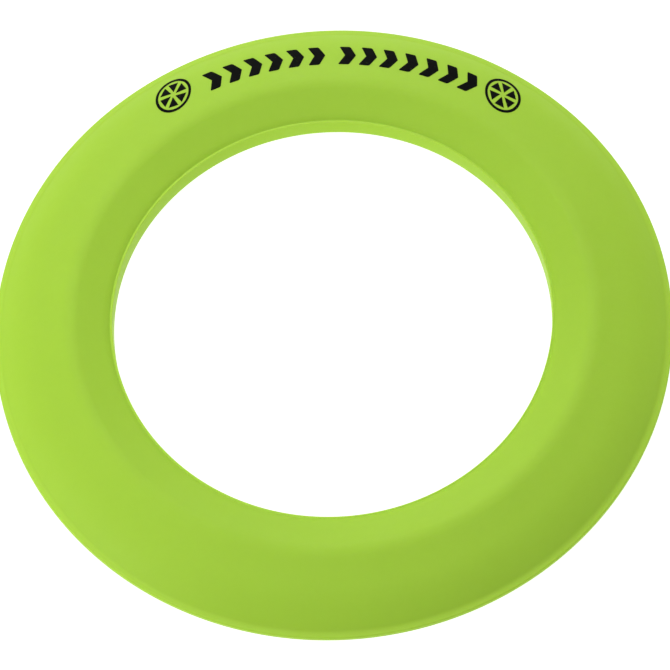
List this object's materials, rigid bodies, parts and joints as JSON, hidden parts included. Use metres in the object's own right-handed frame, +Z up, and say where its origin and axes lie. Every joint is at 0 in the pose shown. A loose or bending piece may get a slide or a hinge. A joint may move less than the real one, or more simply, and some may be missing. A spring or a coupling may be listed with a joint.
{
  "type": "flying ring",
  "caption": "Moulded throwing ring with a wide centre hole, a domed top that slopes to a thin outer rim, an open finger channel underneath and a printed arc of chevrons between oval marks.",
  "frame": {"origin": "centre of the ring, on the plane that its inner and outer rims rest on", "axes": "+Z up along the flight axis out of the domed top; +Y from the centre through the middle of the printed arc"},
  "size_m": [0.235, 0.235, 0.0122],
  "materials": {
    "ring_plastic": "satin, fine moulded texture",
    "print_ink": "satin pad-printed ink film"
  },
  "bodies": {
    "root": {"ring_body": "ring_plastic", "arc_print": "print_ink"}
  },
  "joints": []
}
